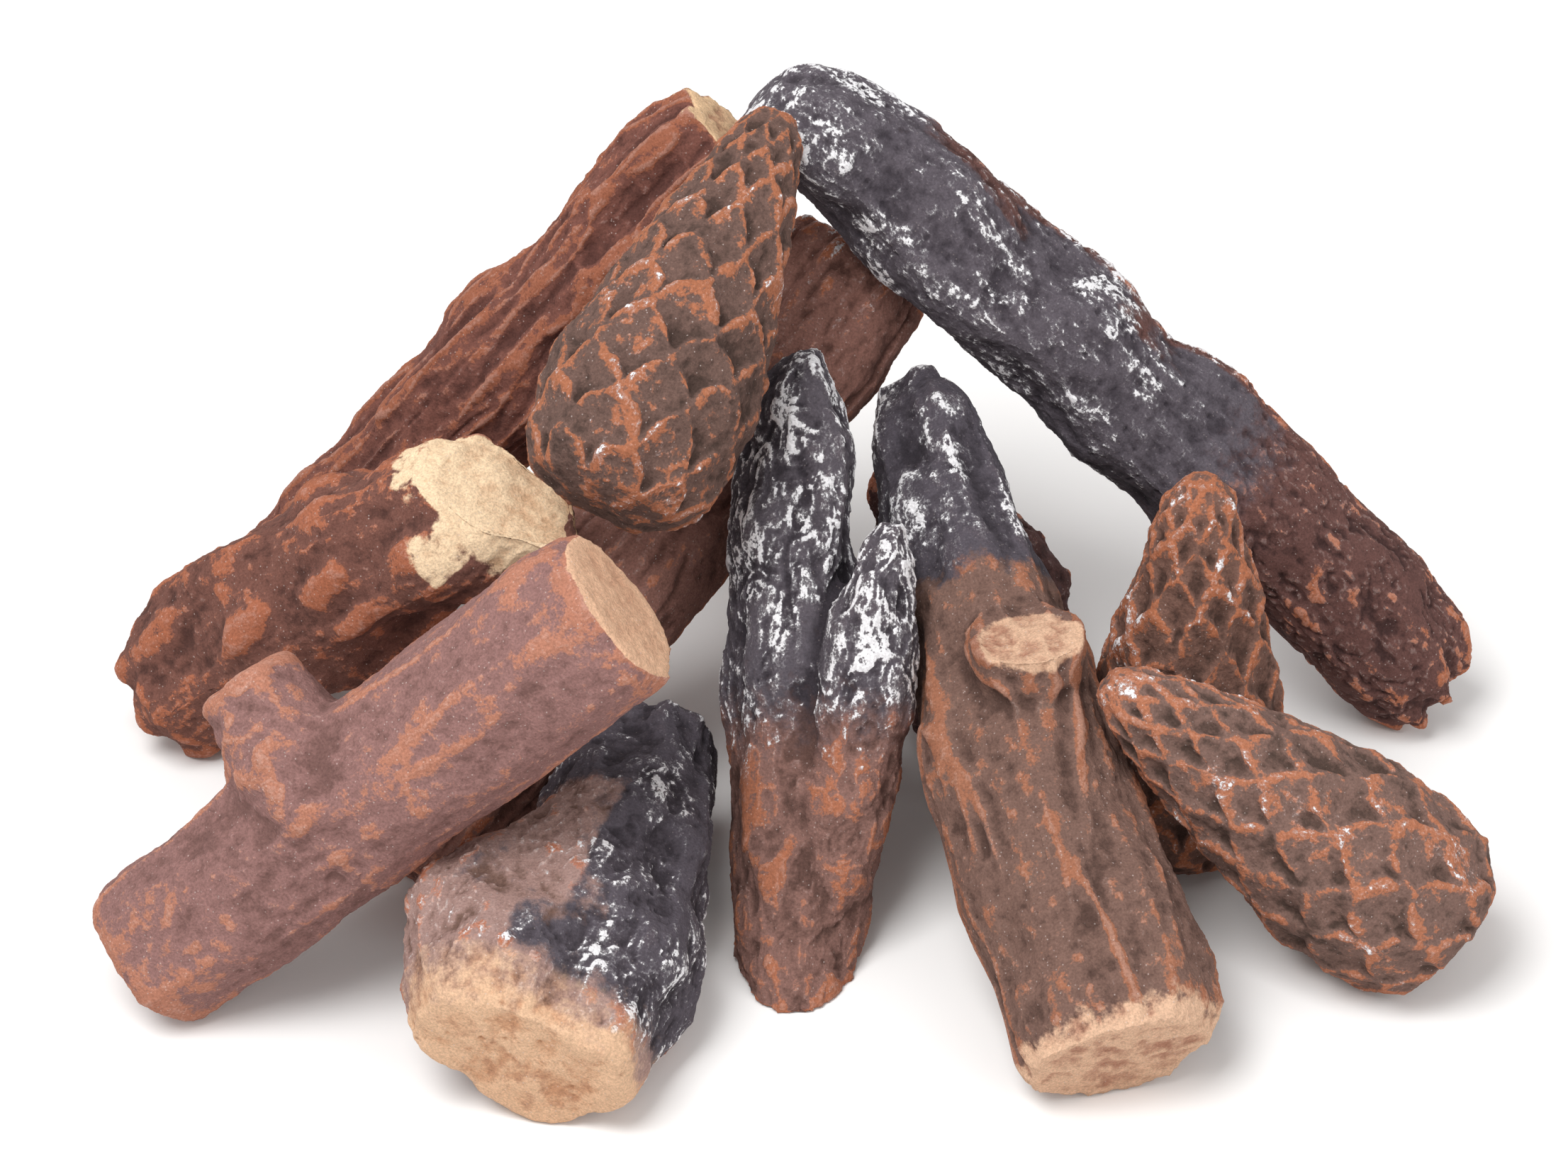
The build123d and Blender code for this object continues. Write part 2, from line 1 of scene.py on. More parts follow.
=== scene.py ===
"""Gas log set, dressed: nine cast ceramic logs and three cast pine cones, in a pile on a pale floor.

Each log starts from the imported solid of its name, remeshed finely and given the relief that its mould leaves.
Each pine cone is drawn anew from the sizes of its mould. The finish goes on as it does at the kiln: a bark
brown stain, terracotta dry-brushed over what stands proud, black char, flakes of white ash, and bare cream
clay at the sawn and broken faces. Lengths are in metres unless a name ends in mm, and angles in degrees.
"""

import json
import logging
import math
from dataclasses import dataclass, field
from enum import Enum

import bpy
import numpy as np
from mathutils import Matrix, Vector, noise


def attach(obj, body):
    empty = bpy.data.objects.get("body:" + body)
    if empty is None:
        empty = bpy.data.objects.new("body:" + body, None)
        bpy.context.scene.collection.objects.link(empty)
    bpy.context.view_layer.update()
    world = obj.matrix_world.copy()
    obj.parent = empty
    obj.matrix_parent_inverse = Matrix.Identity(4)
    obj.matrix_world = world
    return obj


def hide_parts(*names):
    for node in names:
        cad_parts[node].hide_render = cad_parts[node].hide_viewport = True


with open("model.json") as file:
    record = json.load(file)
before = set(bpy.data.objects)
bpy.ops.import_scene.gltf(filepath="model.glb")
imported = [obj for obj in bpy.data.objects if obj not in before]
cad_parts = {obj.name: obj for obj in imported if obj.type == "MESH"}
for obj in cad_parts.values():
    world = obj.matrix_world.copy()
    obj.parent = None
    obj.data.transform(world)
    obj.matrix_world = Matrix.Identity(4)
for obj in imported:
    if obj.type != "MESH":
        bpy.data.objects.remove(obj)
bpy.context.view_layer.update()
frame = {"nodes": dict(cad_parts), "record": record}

LOG = logging.getLogger("gas_log_set")
MM = 0.001


class Pattern(Enum):
    """The kinds of relief that a mould leaves in the clay."""

    PLATES = "broad plates of bark between narrow furrows"
    FLUTES = "narrow crests between broad hollows"
    FOLDS = "slow swells and folds"
    LUMPS = "rounded lumps that stand apart"
    SHELVES = "thin shelves with broken edges"
    PITS = "small open pits"
    GRAIN = "the grain of the clay itself"


class Layer(Enum):
    """The paints that cover only a part of a casting, as the mesh attributes that carry them."""

    CHAR = "char"
    ASH = "ash"
    CREAM = "cream"
    TERRACOTTA = "terracotta"


def linear(hex_colour: str) -> tuple[float, float, float, float]:
    """Turns an sRGB hex colour into the linear colour that a shader takes.

    Args:
        hex_colour: Six hex digits after a hash sign.

    Returns:
        Linear red, green and blue, and an alpha of 1.
    """
    channels = [int(hex_colour[i : i + 2], 16) / 255 for i in (1, 3, 5)]
    red, green, blue = (c / 12.92 if c <= 0.04045 else ((c + 0.055) / 1.055) ** 2.4 for c in channels)
    return red, green, blue, 1.0


def ramp(value: np.ndarray, low: float, high: float) -> np.ndarray:
    """Rises smoothly from 0 at low to 1 at high.

    Args:
        value: The values to map.
        low: Where the rise starts.
        high: Where it ends.

    Returns:
        The mapped values, from 0 to 1.
    """
    t = np.clip((value - low) / (high - low), 0, 1)
    return t * t * (3 - 2 * t)


def add_node(
    tree: bpy.types.NodeTree, kind: str, inputs: dict | None = None, **settings: object
) -> bpy.types.Node:
    """Adds one node to a material, with its settings, values and links.

    Args:
        tree: The node tree that gets the node.
        kind: The node's type, as Blender names it.
        inputs: Socket name or number to a value, or to an output socket that is linked to it.
        settings: Properties of the node itself.

    Returns:
        The new node.
    """
    node = tree.nodes.new(kind)
    for name, value in settings.items():
        setattr(node, name, value)
    for key, value in (inputs or {}).items():
        if isinstance(value, bpy.types.NodeSocket):
            tree.links.new(value, node.inputs[key])
        else:
            node.inputs[key].default_value = value
    return node


def shaped(mesh: bpy.types.Mesh, *steps: tuple[str, dict]) -> bpy.types.Mesh:
    """Runs modifiers over a mesh.

    Args:
        mesh: The mesh to start from, which stays as it is.
        steps: The type of each modifier and its settings.

    Returns:
        A new mesh.
    """
    blank = bpy.data.objects.new("blank", mesh)
    bpy.context.scene.collection.objects.link(blank)
    for kind, settings in steps:
        modifier = blank.modifiers.new(kind.lower(), kind)
        for name, value in settings.items():
            setattr(modifier, name, value)
    bpy.context.view_layer.update()
    result = bpy.data.meshes.new_from_object(blank.evaluated_get(bpy.context.evaluated_depsgraph_get()))
    bpy.data.objects.remove(blank)
    return result


def rows_of(mesh: bpy.types.Mesh, name: str) -> np.ndarray:
    """Reads the places or the normals of a mesh's vertices.

    Args:
        mesh: The mesh.
        name: "co" for the places, "normal" for the unit normals.

    Returns:
        One row of x, y, z for each vertex.
    """
    values = np.empty(len(mesh.vertices) * 3)
    mesh.vertices.foreach_get(name, values)
    return values.reshape(-1, 3)


def softened(mesh: bpy.types.Mesh, rounds: int) -> np.ndarray:
    """Rounds the facets of a mesh without drawing its ends in.

    Args:
        mesh: A fine, even mesh, which stays as it is.
        rounds: How many rounds of softening it gets.

    Returns:
        The new places of its vertices.
    """
    start = rows_of(mesh, "co")
    soft = shaped(mesh, ("SMOOTH", {"factor": 0.5, "iterations": rounds}))
    drawn_in = start - rows_of(soft, "co")
    places = start - drawn_in
    soft.vertices.foreach_set("co", drawn_in.ravel())
    level = shaped(soft, ("SMOOTH", {"factor": 0.5, "iterations": rounds}))
    places += rows_of(level, "co")
    bpy.data.meshes.remove(soft)
    bpy.data.meshes.remove(level)
    return places


def proudness(mesh: bpy.types.Mesh, rounds: int, height_mm: float) -> np.ndarray:
    """Finds what stands proud of the shape around it, as a dry brush does.

    Args:
        mesh: A fine, even mesh.
        rounds: How many rounds of softening make the shape that it is held against.
        height_mm: The difference in height between a hollow and a crest.

    Returns:
        A share for each vertex: about 0 in a hollow, 0.5 where the surface is even and 1 on a crest.
    """
    soft = shaped(mesh, ("SMOOTH", {"factor": 0.5, "iterations": rounds}))
    rise = ((rows_of(mesh, "co") - rows_of(soft, "co")) * rows_of(soft, "normal")).sum(axis=1)
    bpy.data.meshes.remove(soft)
    return np.clip(0.5 + (rise - np.median(rise)) / (height_mm * MM), 0, 1)


@dataclass(frozen=True)
class Relief:
    """One layer of relief, over the whole casting or a stretch of it."""

    pattern: Pattern
    size_mm: float
    height_mm: float
    stretch: float = 1.0
    twist: float = 0.0
    start: float = -1.0
    stop: float = 2.0
    on_breaks: float = 0.25
    on_char: float = 1.0

    def heights(self, points: np.ndarray, seed: int) -> np.ndarray:
        """Works out the relief at points of the casting's own frame.

        Args:
            points: One row of x, y, z for each vertex, in metres, with z along the casting.
            seed: A number that sets this layer's pattern apart from the others.

        Returns:
            Heights in millimetres.
        """
        turn = self.twist * points[:, 2]
        x = points[:, 0] * np.cos(turn) - points[:, 1] * np.sin(turn)
        y = points[:, 0] * np.sin(turn) + points[:, 1] * np.cos(turn)
        spots = np.stack([x, y, points[:, 2] / self.stretch], axis=1) / (self.size_mm * MM) + 17.3 * (seed + 1)
        spots = spots.tolist()
        if self.pattern in (Pattern.LUMPS, Pattern.PITS):
            near = np.array([noise.voronoi(p)[0][0] for p in spots])
            if self.pattern is Pattern.LUMPS:
                return self.height_mm * (1 - ramp(near, 0.0, 0.56))
            return self.height_mm * (ramp(near, 0.04, 0.17) - 1)
        octaves = 3 if self.pattern is Pattern.GRAIN else 2
        wave = np.array([noise.fractal(p, 0.8, 2.1, octaves) for p in spots])
        if self.pattern is Pattern.PLATES:
            wave = np.minimum(1, 3.2 * np.abs(wave)) ** 0.7
        elif self.pattern is Pattern.FLUTES:
            wave = np.exp(-8 * np.abs(wave))
        elif self.pattern is Pattern.SHELVES:
            shelf = 3.5 * wave
            step = np.floor(shelf)
            wave = (step + ramp(shelf - step, 0.7, 0.98)) / 3.5
        return self.height_mm * wave

    def within(self, stations: np.ndarray) -> np.ndarray:
        """Gives the share of its height that the layer has at each station along the casting."""
        fade = 0.07
        share = ramp(stations, self.start - fade, self.start + fade)
        return share * (1 - ramp(stations, self.stop - fade, self.stop + fade))


@dataclass(frozen=True)
class Zone:
    """An area that one paint covers: a stretch of the casting, one side of it, or a spot."""

    layer: Layer
    start: float = -1.0
    stop: float = 2.0
    fade: float = 0.08
    facing: tuple[float, float, float] | None = None
    edge: float = 0.3
    spot_mm: tuple[float, float, float] | None = None
    reach_mm: float = 0.0
    strength: float = 1.0

    def cover(self, points: np.ndarray, stations: np.ndarray, facings: np.ndarray) -> np.ndarray:
        """Works out how fully the paint covers each vertex.

        Args:
            points: Vertices in the casting's own frame.
            stations: How far along the casting each vertex lies, from 0 at its foot to 1 at its top.
            facings: Unit normals in the casting's own frame.

        Returns:
            A share from 0 to 1 for each vertex.
        """
        share = ramp(stations, self.start - self.fade, self.start + self.fade)
        share = share * (1 - ramp(stations, self.stop - self.fade, self.stop + self.fade))
        if self.facing:
            toward = np.array(self.facing) / np.linalg.norm(self.facing)
            share = share * ramp(facings @ toward, self.edge - 0.25, self.edge + 0.25)
        if self.spot_mm:
            away = np.linalg.norm(points - np.array(self.spot_mm) * MM, axis=1)
            share = share * (1 - ramp(away, 0.8 * self.reach_mm * MM, 1.2 * self.reach_mm * MM))
        return self.strength * share


@dataclass(frozen=True)
class CastClayFinish:
    """Refractory ceramic fibre and clay, cast in a mould, fired and hand painted with mineral stains.

    The clay stays open-pored and quite matt. The hollows are darkened with painted shade, the dry brush leaves
    terracotta with torn edges on what stands proud, and grit shows through as fine pale specks.
    """

    bark: str = "#7f564d"
    bark_dark: str = "#5a3e3a"
    bark_pale: str = "#95706a"
    terracotta: str = "#b8704f"
    char: str = "#57525a"
    char_dark: str = "#38343a"
    ash: str = "#f2f0f2"
    cream: str = "#e0bd9c"
    cream_deep: str = "#bb8f72"
    grit: str = "#d9cac4"
    brushed_from: float = 0.54
    brush_strength: float = 0.85
    ash_from: float = 0.60
    # How strongly the hollows are darkened with painted shade.
    hollow_painted_shade: float = 0.6
    # How strongly the crests get the pale painted highlight and dust.
    dust_and_highlight: float = 0.12
    char_edge: float = 0.16
    cream_edge: float = 0.08
    patch_mm: float = 22.0
    flake_mm: float = 5.0
    grain_mm: float = 0.8
    grit_mm: float = 1.7
    roughness: float = 0.95

    def material(self, name: str, seat: Matrix) -> bpy.types.Material:
        """Makes the material, with its patterns laid out and sized in the casting's own frame.

        Args:
            name: The material's name.
            seat: The matrix of the casting's seat.

        Returns:
            The new material.
        """
        material = bpy.data.materials.new(name)
        material.use_nodes = True
        tree = material.node_tree
        tree.nodes.clear()
        back = seat.inverted()
        place = add_node(tree, "ShaderNodeMapping", {
            "Vector": add_node(tree, "ShaderNodeTexCoord").outputs["Object"],
            "Location": back.translation,
            "Rotation": back.to_euler(),
        }).outputs[0]

        def pattern(size_mm: float, detail: float, sharp: float, stretch: float = 1.0) -> bpy.types.NodeSocket:
            """Noise with blotches of about this size, drawn out along the casting where stretch is over 1."""
            along = add_node(tree, "ShaderNodeMapping", {"Vector": place, "Scale": (1, 1, 1 / stretch)})
            inputs = {"Vector": along.outputs[0], "Scale": 1 / (size_mm * MM), "Detail": detail, "Roughness": sharp}
            return add_node(tree, "ShaderNodeTexNoise", inputs).outputs[0]

        def result(operation: str, first: object, second: object = 0.0) -> bpy.types.NodeSocket:
            """Sum, product or other operation on two values."""
            return add_node(tree, "ShaderNodeMath", {0: first, 1: second}, operation=operation).outputs[0]

        def weighed(*terms: tuple[float, bpy.types.NodeSocket]) -> bpy.types.NodeSocket:
            """Sum of values, each times its weight and held about its middle of 0.5."""
            total = None
            for weight, value in terms:
                part = result("MULTIPLY", result("SUBTRACT", value, 0.5), weight)
                total = part if total is None else result("ADD", total, part)
            return result("ADD", total, 0.5)

        def torn(value: bpy.types.NodeSocket, low: float, high: float) -> bpy.types.NodeSocket:
            """A paint's edge: 0 under low and 1 over high."""
            inputs = {"Value": value, "From Min": low, "From Max": high}
            return add_node(tree, "ShaderNodeMapRange", inputs, interpolation_type="SMOOTHSTEP").outputs[0]

        def layered(under: object, over: object, share: bpy.types.NodeSocket) -> bpy.types.NodeSocket:
            """One colour painted over another."""
            inputs = {"Factor": share, 6: under, 7: over}
            return add_node(tree, "ShaderNodeMix", inputs, data_type="RGBA").outputs[2]

        def attribute(attribute_name: str) -> bpy.types.NodeSocket:
            """A share that the mesh carries."""
            return add_node(tree, "ShaderNodeAttribute", attribute_name=attribute_name).outputs["Fac"]

        patch = pattern(self.patch_mm, 3, 0.55, 1.5)
        flake = pattern(self.flake_mm, 6, 0.66)
        streak = pattern(self.flake_mm, 8, 0.74, 2.4)
        grain = pattern(self.grain_mm, 3, 0.65)
        raised, crest = attribute("raised"), attribute("crest")
        char, ash = attribute(Layer.CHAR.value), attribute(Layer.ASH.value)

        # Bark tone from dark to pale: it varies at random with the patches and flakes, and is partly painted shade in
        # the hollows and painted light on what stands proud.
        tone = weighed((1.1, patch), (1.0, flake), (0.6, raised))
        colour = layered(linear(self.bark_dark), linear(self.bark), torn(tone, 0.15, 0.5))
        colour = layered(colour, linear(self.bark_pale), torn(tone, 0.52, 0.95))

        brushed = weighed((0.85, raised), (0.9, patch), (0.7, flake), (0.25, grain))
        brushed = result("ADD", brushed, result("MULTIPLY", attribute(Layer.TERRACOTTA.value), 0.3))
        brushed = result("MULTIPLY", torn(brushed, self.brushed_from, self.brushed_from + 0.12), self.brush_strength)
        colour = layered(colour, linear(self.terracotta), brushed)
        # Painted shade: the hollows are darkened towards the dark bark colour, the more the lower they lie than the
        # shape around them.
        hollow = result("SUBTRACT", 1.0, torn(raised, 0.05, 0.4))
        colour = layered(colour, linear(self.bark_dark), result("MULTIPLY", hollow, self.hollow_painted_shade))
        # Painted highlight on the crests, mixed with pale dust left by the dry brush.
        crest_highlight_and_dust = torn(weighed((0.9, crest), (0.9, flake), (0.5, grain), (0.4, patch)), 0.68, 0.95)
        colour = layered(colour, linear(self.grit), result("MULTIPLY", crest_highlight_and_dust, self.dust_and_highlight))

        ragged = result("SUBTRACT", weighed((1.5, flake), (1.0, patch)), 0.5)
        burnt = result("ADD", char, result("MULTIPLY", ragged, 0.8))
        charred = torn(burnt, 0.5 - self.char_edge, 0.5 + self.char_edge)
        soot = layered(linear(self.char_dark), linear(self.char), torn(weighed((0.8, flake), (1.0, raised)), 0.1, 0.6))
        colour = layered(colour, soot, result("MULTIPLY", charred, 0.97))

        flecks = weighed((1.05, streak), (1.0, patch), (0.35, crest), (0.2, raised), (0.45, grain))
        flecks = result("ADD", flecks, result("MULTIPLY", ash, 0.3))
        haze = result("MULTIPLY", torn(flecks, self.ash_from + 0.14, self.ash_from + 0.38), 0.3)
        ashen = result("MAXIMUM", torn(flecks, self.ash_from + 0.27, self.ash_from + 0.33), haze)
        ashen = result("MULTIPLY", ashen, torn(ash, 0.02, 0.15))
        colour = layered(colour, linear(self.ash), result("MULTIPLY", ashen, 0.93))

        bare = torn(result("ADD", attribute(Layer.CREAM.value), result("MULTIPLY", ragged, 0.7)),
                    0.5 - self.cream_edge, 0.5 + self.cream_edge)
        clay = torn(weighed((0.9, flake), (0.9, patch), (0.9, raised)), 0.15, 0.6)
        colour = layered(colour, layered(linear(self.cream_deep), linear(self.cream), clay), bare)

        cells = {"Vector": place, "Scale": 1 / (self.grit_mm * MM)}
        speck = add_node(tree, "ShaderNodeTexVoronoi", cells)
        dot = result("SUBTRACT", 1.0, torn(speck.outputs["Distance"], 0.08, 0.2))
        chosen = torn(result("ADD", speck.outputs["Color"], result("SUBTRACT", patch, 0.5)), 0.5, 0.6)
        dot = result("MULTIPLY", result("MULTIPLY", dot, chosen), result("SUBTRACT", 0.45, result("MULTIPLY", char, 0.3)))
        colour = layered(colour, linear(self.grit), dot)

        sandy = add_node(tree, "ShaderNodeMapRange", {"Value": grain, "From Min": 0.3, "From Max": 0.7,
                                                      "To Min": 0.74, "To Max": 1.2})
        colour = add_node(tree, "ShaderNodeHueSaturation", {"Color": colour, "Value": sandy.outputs[0]}).outputs[0]

        height = result("ADD", result("MULTIPLY", grain, 0.3), result("MULTIPLY", flake, 0.7))
        height = result("ADD", height, result("MULTIPLY", ashen, 0.2))
        bump = add_node(tree, "ShaderNodeBump", {"Height": height, "Distance": 1.5 * MM, "Strength": 0.75})
        surface = add_node(tree, "ShaderNodeBsdfPrincipled", {
            "Base Color": colour,
            "Roughness": self.roughness,
            "Specular IOR Level": 0.15,
            "Normal": bump.outputs[0],
        })
        add_node(tree, "ShaderNodeOutputMaterial", {"Surface": surface.outputs[0]})
        return material


@dataclass
class Casting:
    """One loose casting of the pile, drawn in its own frame and set on its seat."""

    node: str
    heading: float
    lean: float
    roll: float
    seed: int
    finish: CastClayFinish = field(default_factory=CastClayFinish)

    def axes(self) -> np.ndarray:
        """Gives the casting's right, back and along directions as rows, in the frame of the pile."""
        h, l, r = (math.radians(angle) for angle in (self.heading, self.lean, self.roll))
        along = np.array([math.cos(l) * math.cos(h), math.cos(l) * math.sin(h), math.sin(l)])
        under = np.array([math.sin(l) * math.cos(h), math.sin(l) * math.sin(h), -math.cos(l)])
        side = np.cross(under, along)
        right = side * math.cos(r) + under * math.sin(r)
        back = under * math.cos(r) - side * math.sin(r)
        return np.array([right, back, along])

    def solid_corners(self) -> np.ndarray:
        """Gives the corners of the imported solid, in the frame of the pile."""
        mesh = frame["nodes"][self.node].data
        corners = np.empty(len(mesh.vertices) * 3)
        mesh.vertices.foreach_get("co", corners)
        return corners.reshape(-1, 3)

    def seat(self, origin: np.ndarray) -> Matrix:
        """Gives the matrix that takes the casting from its own frame to its seat.

        Args:
            origin: Where the casting's own origin lies in the pile.

        Returns:
            The seat as a 4x4 matrix.
        """
        rotation = Matrix([Vector(row) for row in self.axes()]).transposed()
        return Matrix.Translation(Vector(origin)) @ rotation.to_4x4()

    def place(self, mesh: bpy.types.Mesh, seat: Matrix, shares: dict[str, np.ndarray]) -> bpy.types.Object:
        """Sets a finished mesh on its seat, dresses it and hands it to its body.

        Args:
            mesh: The mesh, in the casting's own frame.
            seat: The matrix of its seat.
            shares: Attribute name to one share for each vertex.

        Returns:
            The placed piece.
        """
        for name, share in shares.items():
            layer = mesh.attributes.new(name, "FLOAT", "POINT")
            layer.data.foreach_set("value", np.clip(share, 0, 1).astype(np.float32))
        mesh.polygons.foreach_set("use_smooth", np.ones(len(mesh.polygons), dtype=bool))
        mesh.materials.clear()
        mesh.materials.append(self.finish.material(f"painted_fired_clay_{self.node}", seat))
        mesh.transform(seat)
        piece = bpy.data.objects.new(f"{self.node}_casting", mesh)
        bpy.context.scene.collection.objects.link(piece)
        bodies = frame["record"]["behaviour"]["bodies"]
        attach(piece, next(body for body, nodes in bodies.items() if self.node in nodes))
        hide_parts(self.node)
        return piece

    def above_hearth(self, points: np.ndarray, seat: Matrix) -> np.ndarray:
        """Lifts what lies under the hearth up to it.

        Args:
            points: Vertices in the casting's own frame.
            seat: The matrix of its seat.

        Returns:
            The vertices, none of them under the hearth.
        """
        turn = np.array(seat.to_3x3())
        world = points @ turn.T + np.array(seat.translation)
        world[:, 2] = np.maximum(world[:, 2], 0)
        return (world - np.array(seat.translation)) @ turn


@dataclass
class CastLog(Casting):
    """A log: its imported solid, remeshed, softened and covered with the relief of its mould."""

    length_mm: float = 250.0
    reliefs: tuple[Relief, ...] = ()
    zones: tuple[Zone, ...] = ()
    voxel_mm: float = 0.95
    softening: int = 26
    proud_mm: float = 0.6
    level: float = 80.0
    blend_at: float = 0.0

    def build(self) -> bpy.types.Object:
        """Builds the log and sets it on its seat.

        Returns:
            The placed piece.
        """
        axes = self.axes()
        own = self.solid_corners() @ axes.T
        low, high = own.min(axis=0), own.max(axis=0)
        foot = np.array([(low[0] + high[0]) / 2, (low[1] + high[1]) / 2, high[2] - self.length_mm * MM])
        rough = frame["nodes"][self.node].data.copy()
        rough.vertices.foreach_set("co", (own - foot).ravel())
        coarse = 1
        mesh = shaped(rough, ("REMESH", {"mode": "VOXEL", "voxel_size": self.voxel_mm * MM * coarse}))
        bpy.data.meshes.remove(rough)
        points = softened(mesh, self.softening // coarse)
        stations = points[:, 2] / (self.length_mm * MM)
        if self.blend_at:
            share = ramp(np.abs(stations - self.blend_at), 0.3, 0.18)[:, None]
            points = share * softened(mesh, 5 * self.softening // coarse) + (1 - share) * points
        mesh.vertices.foreach_set("co", points.ravel())
        mesh.update()
        facings = rows_of(mesh, "normal")

        covers = {layer.value: np.zeros(len(points)) for layer in Layer}
        for zone in self.zones:
            share = zone.cover(points, stations, facings @ axes)
            covers[zone.layer.value] = np.maximum(covers[zone.layer.value], share)
        breaks, burnt = ramp(covers[Layer.CREAM.value], 0.3, 0.9), covers[Layer.CHAR.value]
        relief = np.zeros(len(points))
        for number, layer in enumerate(self.reliefs):
            share = layer.within(stations) * (1 - breaks + layer.on_breaks * breaks) * (1 - burnt + layer.on_char * burnt)
            relief += share * layer.heights(points, 10 * self.seed + number)
        relief -= np.percentile(relief, self.level)
        relief = np.where(relief > 0, self.proud_mm * np.tanh(relief / self.proud_mm), relief)
        seat = self.seat(foot @ axes)
        points = self.above_hearth(points + facings * (relief * MM)[:, None], seat)
        mesh.vertices.foreach_set("co", points.ravel())
        mesh.update()
        covers["raised"] = proudness(mesh, 120 // coarse**2, 2.4)
        covers["crest"] = proudness(mesh, 12 // coarse, 0.5)
        return self.place(mesh, seat, covers)


@dataclass
class CastPineCone(Casting):
    """A pine cone: a turned body with interleaved rows of scales, each with a lip on its free edges."""

    length_mm: float = 144.0
    width_mm: float = 71.0
    scale_rise_mm: float = 5.6
    scales_around: int = 9
    scale_rows: int = 11
    base_row_share: float = 1.25
    swell: float = 0.35
    lip: float = 0.15
    scale_foot: float = 0.2
    arch: float = 0.16
    wander: float = 0.34
    profile: tuple[tuple[float, float], ...] = (
        (0.00, 0.42),
        (0.04, 0.76),
        (0.10, 0.92),
        (0.22, 1.00),
        (0.34, 0.98),
        (0.50, 0.85),
        (0.70, 0.64),
        (0.85, 0.47),
        (0.95, 0.34),
        (1.00, 0.16),
    )
    facets_around: int = 280
    rings: int = 170
    softening: int = 7

    def scale_rise(self, across: np.ndarray, along: np.ndarray) -> np.ndarray:
        """Gives the rise of the scales as a share.

        Args:
            across: Counts of half scales round the cone.
            along: Counts of rows from its base.

        Returns:
            The rise, 1 at the lips and least in the hollow at the foot of each scale.
        """
        rises = []
        strands = (along + across) / 2, (along - across) / 2
        for strand, other in (strands, strands[::-1]):
            strand = strand - self.arch * np.abs(np.sin(math.pi * other))
            strand = strand - np.floor(strand)
            fall = 1 - ramp(strand, 0, self.lip)
            climb = np.clip((strand - self.lip) / (1 - self.lip), 0, 1)
            share = np.where(strand < self.lip, fall, climb)
            rises.append(self.scale_foot + (1 - self.scale_foot) * share)
        return self.swell * (rises[0] + rises[1]) / 2 + (1 - self.swell) * np.maximum(*rises)

    def skin(self) -> bpy.types.Mesh:
        """Draws the skin of the cone in its own frame.

        Returns:
            A closed mesh.
        """
        turn = np.linspace(0, 2 * math.pi, self.facets_around, endpoint=False)
        stations = np.linspace(0, 1, self.rings)
        table = np.array(self.profile)
        share = np.interp(stations, table[:, 0], table[:, 1])
        body = share[:, None] * self.width_mm / 2 * np.stack([np.cos(turn), np.sin(turn)])[:, None, :]
        z = np.repeat(stations[:, None] * self.length_mm, self.facets_around, axis=1)
        spots = np.stack([body[0], body[1], z], axis=2).reshape(-1, 3) / 24 + 11.7 * self.seed
        drift = np.array([noise.noise_vector(p)[:2] for p in spots.tolist()]).reshape(self.rings, -1, 2)
        across = np.arange(self.facets_around) * 2 * self.scales_around / self.facets_around
        rows = self.scale_rows * (1 - (1 - stations) ** (1 / self.base_row_share))
        rise = self.scale_rise(across[None, :] + self.wander * drift[..., 0], rows[:, None] + self.wander * drift[..., 1])
        depth = self.scale_rise_mm * np.minimum(1, 2 * share)[:, None] * (1 - rise)
        body = body * (1 - depth / (share[:, None] * self.width_mm / 2))
        rings = np.stack([body[0], body[1], z], axis=2) * MM
        shrink = np.array([0.0, 0.25, 0.5, 0.75])[:, None, None]
        flat = np.concatenate([shrink, shrink, np.ones_like(shrink)], axis=2)
        rings = np.concatenate([rings[0] * flat, rings, (rings[-1] * flat)[::-1]])
        count, size = rings.shape[:2]
        ring, step = np.meshgrid(np.arange(count - 1), np.arange(size), indexing="ij")
        after = (step + 1) % size
        faces = np.stack([ring * size + step, ring * size + after, (ring + 1) * size + after, (ring + 1) * size + step])
        mesh = bpy.data.meshes.new(self.node)
        mesh.from_pydata(rings.reshape(-1, 3).tolist(), [], faces.reshape(4, -1).T.tolist())
        return mesh

    def build(self) -> bpy.types.Object:
        """Builds the pine cone and sets it on its seat.

        Returns:
            The placed piece.
        """
        axes = self.axes()
        own = self.solid_corners() @ axes.T
        top = own[own[:, 2] > own[:, 2].max() - 0.01 * MM]
        foot = np.array([*top[:, :2].mean(axis=0), own[:, 2].max() - self.length_mm * MM])
        seat = self.seat(foot @ axes)
        rough = self.skin()
        mesh = shaped(
            rough,
            ("WELD", {"merge_threshold": 0.05 * MM}),
            ("REMESH", {"mode": "VOXEL", "voxel_size": 0.7 * MM * 1}),
            ("SMOOTH", {"factor": 0.5, "iterations": self.softening}),
        )
        bpy.data.meshes.remove(rough)
        points, facings = rows_of(mesh, "co"), rows_of(mesh, "normal")
        swell = Relief(Pattern.FOLDS, 20, 1.6).heights(points, self.seed)
        pits = Relief(Pattern.PITS, 8, 0.5).heights(points, self.seed)
        grain = Relief(Pattern.GRAIN, 2.6, 0.4).heights(points, self.seed + 1)
        points = points + facings * ((swell + pits + grain - 0.2) * MM)[:, None]
        points = self.above_hearth(points, seat)
        mesh.vertices.foreach_set("co", points.ravel())
        mesh.update()
        covers = {layer.value: np.zeros(len(points)) for layer in Layer}
        covers[Layer.ASH.value] += 0.2
        covers["raised"] = proudness(mesh, 90, 1.9)
        covers["crest"] = proudness(mesh, 10, 0.5)
        return self.place(mesh, seat, covers)


